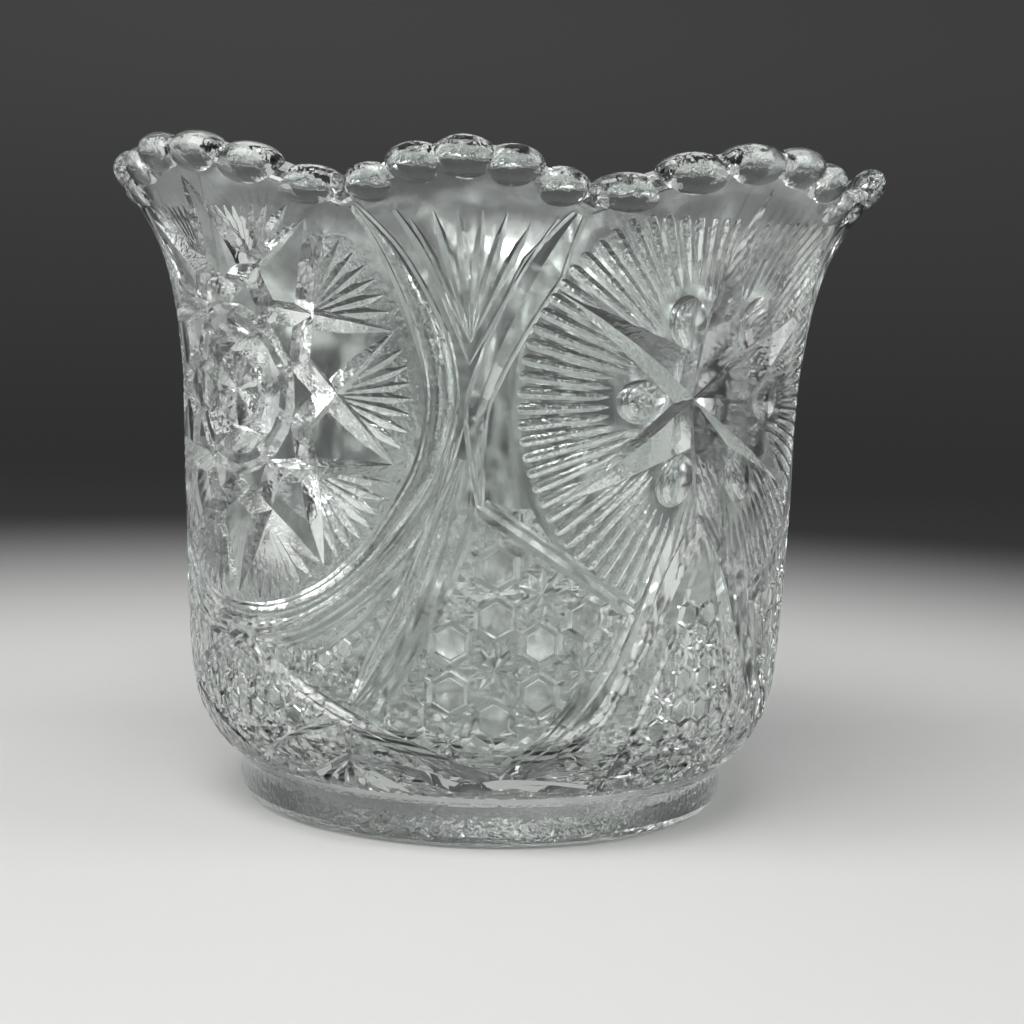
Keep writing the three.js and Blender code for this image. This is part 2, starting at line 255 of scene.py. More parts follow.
def makeBody():
    sides = wall["sides"]
    angles = [360 * i / sides for i in range(sides)]
    turns = [math.radians(angle) for angle in angles]
    rings = []

    def plainRing(radius, z):
        rings.append([(radius * math.sin(turn), -radius * math.cos(turn), z) for turn in turns])

    def upperRing(share, inside):
        ring = []
        for a in angles:
            top = edgeHeight(a) - body["topBelowBeads"]
            z = body["waist"] + (top - body["waist"]) * share
            ring.append(onWall(a, z, inside))
        rings.append(ring)

    for radius, z in body["foot"]:
        plainRing(radius, z)
    for z in body["wallHeights"]:
        plainRing(radiusAt(z), z)
    shares = [i / body["upperRows"] for i in range(body["upperRows"] + 1)]
    for share in shares:
        upperRing(share, 0)
    for share in reversed(shares):
        blend = share * share * (3 - 2 * share)
        upperRing(share, wall["thickness"] + (wall["lipThickness"] - wall["thickness"]) * blend)
    for z in body["innerHeights"]:
        plainRing(radiusAt(z) - wall["thickness"], z)
    corner = body["floorCorner"]
    cornerTop = body["floorHeight"] + corner
    centre = radiusAt(cornerTop) - wall["thickness"] - corner
    for angle in range(0, 91, body["cornerStep"]):
        turn = math.radians(angle)
        plainRing(centre + corner * math.cos(turn), cornerTop - corner * math.sin(turn))
    plainRing(centre / 2, body["floorHeight"])

    vertices = [v for ring in rings for v in ring]
    faces = facesBetween(len(rings), sides)
    for ringIndex, height in ((0, body["foot"][0][1]), (len(rings) - 1, body["floorHeight"])):
        vertices.append((0, 0, height))
        middle = len(vertices) - 1
        for k in range(sides):
            a, b = sides * ringIndex + k, sides * ringIndex + (k + 1) % sides
            faces.append((middle, b, a) if ringIndex == 0 else (middle, a, b))
    made = meshObject("glassHolder", vertices, faces=faces)
    first = len(body["foot"]) * sides
    last = first + (len(body["wallHeights"]) + body["upperRows"]) * sides
    underside = len(faces) - 2 * sides
    for i, face in enumerate(made.data.polygons):
        if i < first or underside <= i < underside + sides:
            glass = "grainedGlass"
        else:
            glass = "wallGlass" if i < last else "plungerGlass"
        face.material_index = glassSlots.index(glass)
    return made


holder = makeBody()
print("plain body made,", len(holder.data.polygons), "faces")


def edgePlace(angle):
    z = edgeHeight(angle)
    reach = radiusAt(z) - wall["lipThickness"] / 2 - edge["setIn"]
    turn = math.radians(angle)
    return Vector((reach * math.sin(turn), -reach * math.cos(turn), z))


# Points for the beads, each with its size and its turn round the edge
def makeBeadPoints():
    places, sizes, turns = [], [], []
    for quarter in range(4):
        middle = edge["fanAngle"] + 90 * quarter
        beads = [(middle + a, edge["fanPitch"], size) for a, size in edge["fanBeads"]]
        beads += [(middle + 45 + a, edge["medallionPitch"], size) for a, size in edge["medallionBeads"]]
        for angle, pitch, size in beads:
            z = edgeHeight(angle)
            places.append(edgePlace(angle))
            width = math.radians(pitch) * radiusAt(z) * edge["beadWidthShare"]
            sizes.append((width, edge["beadThickness"] / 2 * size, edge["beadLength"] / 2 * size))
            turns.append((math.radians(90 - edge["beadTilt"]), 0, math.radians(angle)))
    return meshObject("beadPoints", places, attributes={"beadSize": sizes, "beadTurn": turns})


# The plain roll of glass that the beads stand on
def makeRoll():
    steps, sides = edge["rollSteps"], edge["rollSides"]
    tilt = math.radians(edge["beadTilt"])
    vertices = []
    for i in range(steps):
        place = edgePlace(360 * i / steps)
        turn = math.radians(360 * i / steps)
        for k in range(sides):
            around = 2 * math.pi * k / sides
            long = edge["beadLength"] / 2 * edge["rollShare"] * math.cos(around)
            thick = edge["beadThickness"] / 2 * edge["rollShare"] * math.sin(around)
            out = long * math.cos(tilt) - thick * math.sin(tilt)
            up = long * math.sin(tilt) + thick * math.cos(tilt)
            vertices.append(place + Vector((out * math.sin(turn), -out * math.cos(turn), up)))
    return meshObject("edgeRoll", vertices, faces=facesBetween(steps, sides, closed=True))


beadPoints = makeBeadPoints()
edgeRoll = makeRoll()

# Pattern lines. Each is a list of (x, y, width, depth), drawn over half a repeat where it is mirrored.
pattern = {
    "degree": wall["arcRadius"] * math.pi / 180,
    "star": (0.0, 65.0),
    "rays": (75.4, 65.3),
    "bandLow": 90.6,
}


def polar(centre, distance, angle):
    turn = math.radians(angle)
    return centre[0] + distance * math.cos(turn), centre[1] + distance * math.sin(turn)


# Flat place of an angle round the wall, counted from the front
def fromFront(angle, z):
    return (angle - wall["starAngle"]) * pattern["degree"], z


def lineFrom(start, end, sizes, spacing=4.0):
    length = math.dist(start, end)
    steps = max(len(sizes) - 1, math.ceil(length / spacing))
    line = []
    for i in range(steps + 1):
        t = i / steps
        place = t * (len(sizes) - 1)
        k = min(int(place), len(sizes) - 2)
        width, depth = (a + (b - a) * (place - k) for a, b in zip(sizes[k], sizes[k + 1]))
        line.append((start[0] + (end[0] - start[0]) * t, start[1] + (end[1] - start[1]) * t, width, depth))
    return line


# A smooth line through places given as (angle round the wall, height), with a size at each
def curveThrough(places, sizes, spacing=2.0):
    points = [Vector(fromFront(*place)) for place in places]
    line = []
    for i in range(len(points) - 1):
        before = points[i - 1] if i else points[0] * 2 - points[1]
        after = points[i + 2] if i + 2 < len(points) else points[-1] * 2 - points[-2]
        a, b = points[i], points[i + 1]
        steps = max(1, math.ceil((b - a).length / spacing))
        for k in range(steps + (i == len(points) - 2)):
            t = k / steps
            spot = 0.5 * (
                2 * a + (b - before) * t + (2 * before - 5 * a + 4 * b - after) * t * t
                + (3 * a - before - 3 * b + after) * t * t * t
            )
            whole = (i + t) / (len(points) - 1) * (len(sizes) - 1)
            j = min(int(whole), len(sizes) - 2)
            width, depth = (u + (v - u) * (whole - j) for u, v in zip(sizes[j], sizes[j + 1]))
            line.append((spot.x, spot.y, width, depth))
    return line


def inside(place, polygon):
    x, y = place
    hit = False
    for (ax, ay), (bx, by) in zip(polygon, polygon[1:] + polygon[:1]):
        if (ay > y) != (by > y) and x < (bx - ax) * (y - ay) / (by - ay) + ax:
            hit = not hit
    return hit


def ring(centre, radius, sides, size, start=0.0):
    points = [polar(centre, radius, start + 360 * i / sides) for i in range(sides)]
    return [(x, y, *size) for x, y in points] + ["closed"]


# Ray medallion: six deep tapering rays, a dish in each sector and fine radial flutes outside them
rayMedallion = {
    "rays": 6,
    "length": 29.5,
    "width": 9.3,
    "depth": 4.0,
    "flutesPerSector": 14,
    "fluteEnd": 30.6,
    "fluteShare": 0.8,
    "fluteDepth": 0.55,
    "fluteStart": 14.6,
    "fluteStartAtDish": 17.6,
    "dishHalfAngle": 14,
    "lowFluteEnd": 16.5,
    "lowHalfAngle": 16,
    "lowRayLength": 17.5,
    "dishDistance": 12.8,
    "dishSize": (3.9, 3.1),
    "dishDepth": 1.3,
}


def rayLines():
    centre, s = pattern["rays"], rayMedallion
    lines = []
    step = 360 / s["rays"]
    for k in range(s["rays"]):
        angle = step * (k + 0.5)
        reach = s["lowRayLength"] if abs(angle - 270) < 1 else s["length"]
        share = 1 - reach / s["length"]
        sizes = [(s["width"], s["depth"]), (max(0.12, s["width"] * share), max(0.06, s["depth"] * share))]
        lines.append(lineFrom(centre, polar(centre, reach, angle), sizes))
    return lines


def fluteLines():
    centre, s = pattern["rays"], rayMedallion
    lines = []
    step = 360 / s["rays"]
    pitch = step / s["flutesPerSector"]
    for k in range(s["rays"] * s["flutesPerSector"]):
        angle = step / 2 + pitch * (k + 0.5)
        fromRay = min((angle - step / 2) % step, step - (angle - step / 2) % step)
        fromDish = step / 2 - fromRay
        start = s["fluteStartAtDish"] if fromDish < s["dishHalfAngle"] else s["fluteStart"]
        while s["width"] / 2 * (1 - start / s["length"]) > start * math.sin(math.radians(fromRay)) + 0.1:
            start += 0.5
        end = s["fluteEnd"]
        fromDown = abs((angle - 270 + 180) % 360 - 180)
        if fromDown < s["lowHalfAngle"]:
            end = s["lowFluteEnd"] + (s["fluteEnd"] - s["lowFluteEnd"]) * fromDown / s["lowHalfAngle"]
        top = (pattern["bandLow"] - centre[1]) / max(0.01, math.sin(math.radians(angle)))
        if 0 < top < end:
            end = top
        if end - start < 3:
            continue
        wide, deep = math.radians(pitch) * s["fluteShare"], s["fluteDepth"]
        lines.append([
            (*polar(centre, reach, angle), reach * wide * share, deep * (0.5 + 0.5 * reach / end) * share)
            for reach, share in [
                (start, 0.15), (start + 1.8, 0.95), ((start + end) / 2, 1.0),
                (end - 1.0, 0.96), (end - 0.35, 0.75), (end, 0.3),
            ]
        ])
    return lines


# Star medallion: ten kite points, fans of flutes between them, hobnails and a faceted jewel in the middle
starMedallion = {
    "points": 10,
    "tip": 29.5,
    "node": 18.0,
    "inner": 11.3,
    "fanEnd": 30.4,
    "fanStart": 1.6,
    "fanTurns": [-31, -20.5, -10, 0, 10, 20.5, 31],
    "fanWidthShare": 0.155,
    "edgeSize": (3.4, 2.2),
    "jewelRadius": 5.2,
    "moatRadius": 7.4,
    "hobnails": (8.0, 13.2),
    "hobnailRing": 11.6,
}


def starLines():
    centre, s = pattern["star"], starMedallion
    lines = []
    step = 360 / s["points"]
    for k in range(s["points"]):
        tip = polar(centre, s["tip"], step * (k + 0.5))
        for side in (0, 1):
            node = polar(centre, s["node"], step * (k + side))
            stretch = (s["node"] - s["inner"]) / math.dist(node, tip)
            end = (node[0] + (node[0] - tip[0]) * stretch, node[1] + (node[1] - tip[1]) * stretch)
            full = s["edgeSize"]
            lines.append(lineFrom(tip, end, [(0.15, 0.1), (full[0] * 0.75, full[1] * 0.75), full, full]))
        node = polar(centre, s["node"], step * k)
        for turn in s["fanTurns"]:
            heading = step * k + turn
            reach = s["fanEnd"] - s["node"] + 0.5
            end = polar(node, reach, heading)
            while math.dist(end, centre) > s["fanEnd"] or end[1] > pattern["bandLow"]:
                reach -= 0.3
                end = polar(node, reach, heading)
            start = polar(node, s["fanStart"], heading)
            wide = s["fanWidthShare"] * reach
            sizes = [(0.2, 0.15), (wide * 0.65, 0.6), (wide, 0.8), (0.3, 0.15)]
            lines.append(lineFrom(start, end, sizes, 3.5))
        inner, outer = (polar(centre, distance, step * (k + 0.5)) for distance in s["hobnails"])
        lines.append(lineFrom(inner, outer, [(2.0, 1.7), (1.6, 1.4), (0.5, 0.4)], 2.5))
    lines.append(ring(centre, s["moatRadius"], 20, (4.2, 3.0)))
    lines.append(ring(centre, s["hobnailRing"], 20, (1.6, 1.3), 9))
    for k in range(4):
        a, b = (polar(centre, s["jewelRadius"], 45 * k + 22.5 + half) for half in (0, 180))
        lines.append(lineFrom(a, b, [(3.0, 1.5), (0.4, 0.16), (3.0, 1.5)], 3))
    return lines


# Arms, fan, borders and small grounds between the medallions. They are mirrored at the star's middle.
between = {
    "fanOrigin": (-3.5, 73.0),
    "fanTips": [(-12.2, 89.3), (-8.7, 90.2), (-5.2, 90.4), (-1.8, 90.4), (1.6, 90.2), (5.0, 88.8)],
    "buttonPitch": (6.45, 7.2),
    "buttonOrigin": (1.6, 13.5),
    "buttonRadius": 3.0,
    "buttonGroove": (1.3, 0.85),
    "buttonTop": 0.78,
    "spokeSpan": (0.98, 1.4),
    "spokeSizes": [(1.2, 0.75), (0.5, 0.35)],
    "starRays": 10,
    "starSpan": 1.2,
    "starTip": (0.2, 0.1),
    "starBroad": (1.3, 0.7),
    "starMiddle": (0.4, 0.25),
}


def borderLines():
    starAngle, rayAngle = wall["starAngle"], wall["rayAngle"]
    v = 1.5, 0.8
    fine = 0.9, 0.5
    tip = 0.2, 0.12
    petal = [tip, (0.65, 0.45), (1.25, 0.75), (1.5, 0.8), tip]
    lines = [
        curveThrough([(-4.3, 61.5), (-8, 52), (-13, 43), (-20, 35), (-30, 28.2)], [tip, v, v, v, fine]),
        curveThrough(
            [(-4.3, 54), (-7.7, 42), (-11.2, 34.5), (-17, 26.5), (-21, 22.2)],
            [tip, (1.8, 0.8), (2.0, 0.9), (1.6, 0.8), tip],
        ),
        curveThrough([(-2, 50.5), (-6, 40), (-11, 31), (-16.2, 24.5), (-18.7, 20.6)], [v, v, v, v, v]),
        curveThrough([(-2, 50.5), (26, 35.5)], [v, v], 4),
        curveThrough([(-0.5, 51.3), (26.5, 37.0)], [fine, fine], 4),
        curveThrough([(26, 35.5), (22, 29), (16, 22), (10, 16), (3.5, 11.3)], [v, v]),
        curveThrough([(24.6, 35.3), (20.8, 29.4), (14.8, 22.6), (9, 16.9), (3.2, 12.4)], [fine, fine]),
        curveThrough([(rayAngle, 47), (36.5, 35.5), (33, 28.5), (28, 18.5), (24, 9.2)], [fine, fine]),
        curveThrough([(starAngle, 29.6), (-24, 20.1), (3.5, 11.3)], [v, v], 4),
        curveThrough([(starAngle, 28.1), (-24, 18.7), (1.5, 10.9)], [fine, fine], 4),
        curveThrough([(-23.8, 19.4), (-25, 14.0)], [fine, fine]),
        curveThrough(
            [(-25, 14.0), (-12, 12.2), (-3, 10.0), (3.5, 11.0), (12, 11.0), (24, 9.6)],
            [fine, v, v, fine, fine],
        ),
        curveThrough([(-25, 14.0), (-36, 9.6), (-46, 8.6), (starAngle, 8.5)], [fine, fine]),
        curveThrough([(-25, 19.6), (-38, 15.6), (starAngle, 10.2)], [fine, fine]),
        curveThrough([(-3.6, 70), (-9, 82), (-14.2, 90.2)], [tip, (1.0, 0.6), (1.4, 0.7), (0.6, 0.3)]),
        curveThrough([(-3.6, 70), (2.6, 80), (8.8, 89.6)], [tip, (0.8, 0.5), (1.0, 0.6), (0.5, 0.3)]),
    ]
    for a, z in between["fanTips"]:
        lines.append(curveThrough([between["fanOrigin"], (a, z)], petal, 3))
    for end in [(-33.5, 8.4), (-30, 8.2), (-26.5, 8.2), (-23, 8.2), (-19, 8.3), (-14.5, 8.6)]:
        lines.append(curveThrough([(-25.2, 13.2), end], [tip, (1.0, 0.5), (1.7, 0.7), (0.5, 0.2)], 3))
    for start, end in [
        ((5, 10.6), (24, 9.2)), ((8, 12.4), (22, 12.6)), ((15, 16.2), (24, 12.4)), ((26, 11), (38, 14)),
    ]:
        lines.append(curveThrough([start, end], [tip, (1.4, 0.7), tip], 3))
    return lines


# Smooth deep cuts: the right arm of the arch and the long mitre under the ray medallion
def mitreLines():
    arm = curveThrough(
        [(11.6, 90.2), (7.4, 83), (3.6, 76.5), (0.2, 70), (-2.2, 64), (-2.0, 57), (-1.2, 50)],
        [(1.2, 0.5), (4.4, 1.3), (3.6, 1.2), (2.8, 1.0), (2.4, 0.9), (1.4, 0.7), (0.2, 0.12)],
    )
    outerMitre = curveThrough(
        [(wall["rayAngle"], 48.8), (36.6, 44.8), (33, 39.6), (29.6, 33.6), (25, 27), (20.6, 21),
         (14.5, 15.5), (7, 11.6)],
        [(2.6, 2.0), (2.2, 1.7), (2.0, 1.5), (1.6, 1.2), (0.2, 0.12)],
    )
    innerMitre = curveThrough(
        [(33, 46.5), (31, 42), (27.5, 34), (22.4, 25.6), (14.2, 17.4), (7, 12.8)],
        [(0.9, 0.5), (2.4, 0.9), (2.6, 1.0), (2.2, 0.9), (0.9, 0.5)],
    )
    return [arm, outerMitre, innerMitre]


def roundLines():
    ringBand = curveThrough(
        [(-20.2, 90.8), (-17.6, 87.5), (-14.8, 83.5), (-11.2, 77), (-8.8, 71), (-7.9, 66), (-8.2, 62),
         (-9.6, 57), (-11.6, 53), (-15.5, 48), (-20.3, 43), (-27, 38), (-35, 34.6), (-42, 33),
         (wall["starAngle"], 32.5)],
        [(0.5, 0.2), (2.0, 0.7), (3.3, 1.1), (3.3, 1.1), (2.8, 1.0), (2.5, 0.9), (2.3, 0.9), (2.2, 0.9),
         (2.3, 0.9)],
    )
    outerBand = curveThrough(
        [(-6.3, 59.5), (-8.6, 52.5), (-12, 47), (-16.5, 42), (-22.5, 37.5), (-30, 33.2), (-38, 30.3),
         (-45, 29.4)],
        [(0.4, 0.2), (2.2, 0.8), (2.8, 0.9), (2.8, 0.9), (2.4, 0.8), (1.2, 0.4)],
    )
    leaf = curveThrough(
        [(-4.4, 57), (-7, 50), (-9.5, 44), (-12.4, 37.6), (-16.4, 31), (-20, 26), (-23, 22)],
        [(0.5, 0.2), (2.6, 0.9), (2.8, 1.0), (2.6, 0.9), (0.6, 0.2)],
    )
    return [ringBand, outerBand, leaf]


# Six-sided buttons on a triangular lattice inside a polygon, with a small star at every third place
def buttonGround(polygon, scale=1.0, shift=(0.0, 0.0)):
    s = between
    lines, tops = [], []
    corners = [fromFront(*corner) for corner in polygon]
    pitchX, pitchY = (size * scale for size in s["buttonPitch"])
    radius = s["buttonRadius"] * scale
    groove = tuple(size * scale for size in s["buttonGroove"])
    spokeSizes = [(width * scale, depth * scale) for width, depth in s["spokeSizes"]]
    broad = tuple(size * scale for size in s["starBroad"])
    starSizes = [s["starTip"], broad, s["starMiddle"], broad, s["starTip"]]
    for column in range(-24, 25):
        for row in range(-8, 24):
            up = row + 0.5 * (column % 2)
            x = fromFront(0, 0)[0] + s["buttonOrigin"][0] + shift[0] + pitchX * column
            y = s["buttonOrigin"][1] + shift[1] + pitchY * up
            held = sum(inside(polar((x, y), radius * 0.92, 60 * k + 30), corners) for k in range(6))
            if held < 4:
                continue
            fromStar = (up - 2 + 1.5 * column) % 3
            if min(fromStar, 3 - fromStar) < 0.1:
                for k in range(s["starRays"] // 2):
                    heading = 360 / s["starRays"] * (k + 0.5)
                    ends = [polar((x, y), radius * s["starSpan"], heading + half) for half in (0, 180)]
                    lines.append(lineFrom(*ends, starSizes, 2))
            else:
                lines.append(ring((x, y), radius, 6, groove, 30))
                for k in range(6):
                    ends = [polar((x, y), radius * share, 60 * k + 30) for share in s["spokeSpan"]]
                    lines.append(lineFrom(*ends, spokeSizes))
                if held == 6:
                    tops.append((x, y, radius * s["buttonTop"]))
    return lines, tops


# Fine lines along both sides of a band, a share of its width from its middle
def besideLines(line, share=0.62, size=(0.75, 0.42)):
    pair = []
    for side in (-share, share):
        made = []
        for i, (x, y, width, _) in enumerate(line):
            before, after = line[max(0, i - 1)], line[min(len(line) - 1, i + 1)]
            length = math.dist(before[:2], after[:2])
            acrossX, acrossY = -(after[1] - before[1]) / length, (after[0] - before[0]) / length
            made.append((x + acrossX * width * side, y + acrossY * width * side, *size))
        pair.append(made)
    return pair


def groundLines():
    lines, tops = borderLines(), []
    for band in (*roundLines(), *mitreLines()[:2]):
        lines += besideLines(band)
    starAngle, rayAngle = wall["starAngle"], wall["rayAngle"]
    panel = [
        (-2, 49.5), (25, 35.0), (21, 28.6), (15, 21.8), (9, 15.8),
        (3.5, 12), (-18, 20.6), (-15, 24.6), (-10, 31), (-5.2, 40),
    ]
    underRays = [(rayAngle, 46), (41.7, 9.0), (24.6, 9.8), (28.4, 19), (33.4, 28.5), (36.8, 36)]
    besideBand = [
        (-6, 54), (-9.6, 45), (-14, 37), (-20, 31), (-27, 25.5),
        (-34, 26.5), (-29, 29.5), (-21, 35.6), (-14, 44),
    ]
    underStar = [(-30, 21), (-40, 25.2), (starAngle, 27.2), (starAngle, 11.5), (-38, 16.5), (-28, 19.5)]
    grounds = [
        (panel, 1.0, (0, 0)), (underRays, 0.66, (0.55, 0)),
        (besideBand, 0.5, (0, 0)), (underStar, 0.62, (0.3, 0.9)),
    ]
    for polygon, scale, shift in grounds:
        more, places = buttonGround(polygon, scale, shift)
        lines += more
        tops += places
    return lines, tops


def lineObject(name, lines):
    vertices, edges, widths, depths = [], [], [], []
    for line in lines:
        closed = line[-1] == "closed"
        places = line[:-1] if closed else line
        first = len(vertices)
        for x, y, width, depth in places:
            vertices.append((x, y, 0))
            widths.append(width)
            depths.append(depth)
        edges += [(first + i, first + i + 1) for i in range(len(places) - 1)]
        if closed:
            edges.append((first + len(places) - 1, first))
    return meshObject(name, vertices, edges, attributes={"grooveWidth": widths, "grooveDepth": depths})


groundCuts, buttonTops = groundLines()
patternLines = {
    "Frosted Lines": lineObject("frostedLines", starLines()),
    "Satin Lines": lineObject("satinLines", rayLines()),
    "Flute Lines": lineObject("fluteLines", fluteLines()),
    "Mirrored Fine Lines": lineObject("mirroredFineLines", groundCuts),
    "Mirrored Clear Lines": lineObject("mirroredClearLines", mitreLines()),
    "Mirrored Bands": lineObject("mirroredBands", roundLines()),
}
print("pattern drawn,", sum(len(made.data.vertices) for made in patternLines.values()), "points")


def stampPoints(name, stamps):
    places, sizes, turns = zip(*stamps)
    turns = [(0, 0, math.radians(turn)) for turn in turns]
    return meshObject(name, places, attributes={"stampSize": sizes, "stampTurn": turns})


def dishStamps():
    s = rayMedallion
    long, short = s["dishSize"]
    depth = s["dishDepth"]
    ball = (short * short + depth * depth) / (2 * depth)
    stamps = []
    for k in range(s["rays"]):
        angle = 360 / s["rays"] * k
        x, y = polar(pattern["rays"], s["dishDistance"], angle)
        stamps.append(((x, y, ball - depth), (ball * long / short, ball, ball), angle))
    return stamps


buttonDepth = 0.35
stampObjects = {
    "Dish Points": stampPoints("dishPoints", dishStamps()),
    "Button Points": stampPoints("buttonPoints", [
        ((x, y, 1.0 - buttonDepth), (radius, radius, 1.0), 0) for x, y, radius in buttonTops
    ]),
}


def namedValue(tree, label, kind="FLOAT"):
    return outputOf(tree, "GeometryNodeInputNamedAttribute", {"Name": label}, data_type=kind)


# Solid cutters along flat lines: a profile of Steps corners, straight or rounded at the bottom
def makeGrooveGroup():
    tree, given, wanted = newTree(
        "grooveCutters", "GeometryNodeTree",
        {"Geometry": ["Lines"], "Int": ["Steps"], "Bool": ["Rounded"], "Float": ["Lift"]},
        {"Geometry": ["Cutters"]},
    )
    _, put, calc = treeTools(tree)
    curve = put("GeometryNodeMeshToCurve", {"Mesh": given["Lines"]})
    tangent = put("GeometryNodeInputTangent")
    position = put("GeometryNodeInputPosition")
    width = namedValue(tree, "grooveWidth")
    depth = namedValue(tree, "grooveDepth")

    def stored(geometry, label, value, kind="FLOAT_VECTOR"):
        return put(
            "GeometryNodeStoreNamedAttribute", {"Geometry": geometry, "Name": label, "Value": value},
            data_type=kind, domain="POINT",
        )

    curve = stored(stored(curve, "lineTangent", tangent), "linePlace", position)
    profile = put("GeometryNodeCurvePrimitiveCircle", {"Resolution": calc("ADD", given["Steps"], 1.0)})
    index = put("GeometryNodeInputIndex")
    share = calc("SUBTRACT", calc("MULTIPLY", calc("DIVIDE", index, given["Steps"]), 2.0), 1.0)
    profile = stored(profile, "profileShare", share, "FLOAT")
    mesh = put("GeometryNodeCurveToMesh", {"Curve": curve, "Profile Curve": profile, "Fill Caps": True})
    share = namedValue(tree, "profileShare")
    along = namedValue(tree, "lineTangent", "FLOAT_VECTOR")
    place = namedValue(tree, "linePlace", "FLOAT_VECTOR")
    sideways = vectorNode(tree, "NORMALIZE", vectorNode(tree, "CROSS_PRODUCT", (0, 0, 1), along))
    straightSpan = calc("ADD", calc("DIVIDE", given["Lift"], depth), 1.0)
    roundSpan = 1.35
    wider = calc("MULTIPLY", given["Rounded"], calc("SUBTRACT", roundSpan, straightSpan))
    span = calc("ADD", straightSpan, wider)
    t = calc("MULTIPLY", share, span)
    straight = calc("SUBTRACT", 1.0, calc("ABSOLUTE", t))
    rounded = calc("SUBTRACT", 1.0, calc("MULTIPLY", t, t))
    fall = calc("ADD", straight, calc("MULTIPLY", given["Rounded"], calc("SUBTRACT", rounded, straight)))
    half = calc("MULTIPLY", calc("MULTIPLY", width, 0.5), t)
    drop = calc("MULTIPLY", calc("MULTIPLY", depth, fall), -1.0)
    offset = put("ShaderNodeVectorMath", {0: sideways, "Scale": half}, operation="SCALE")
    sunk = put("ShaderNodeCombineXYZ", {2: drop})
    moved = vectorNode(tree, "ADD", vectorNode(tree, "ADD", place, offset), sunk)
    mesh = put("GeometryNodeSetPosition", {"Geometry": mesh, "Position": moved})
    tree.links.new(mesh, wanted[0])
    return tree


grooveGroup = makeGrooveGroup()


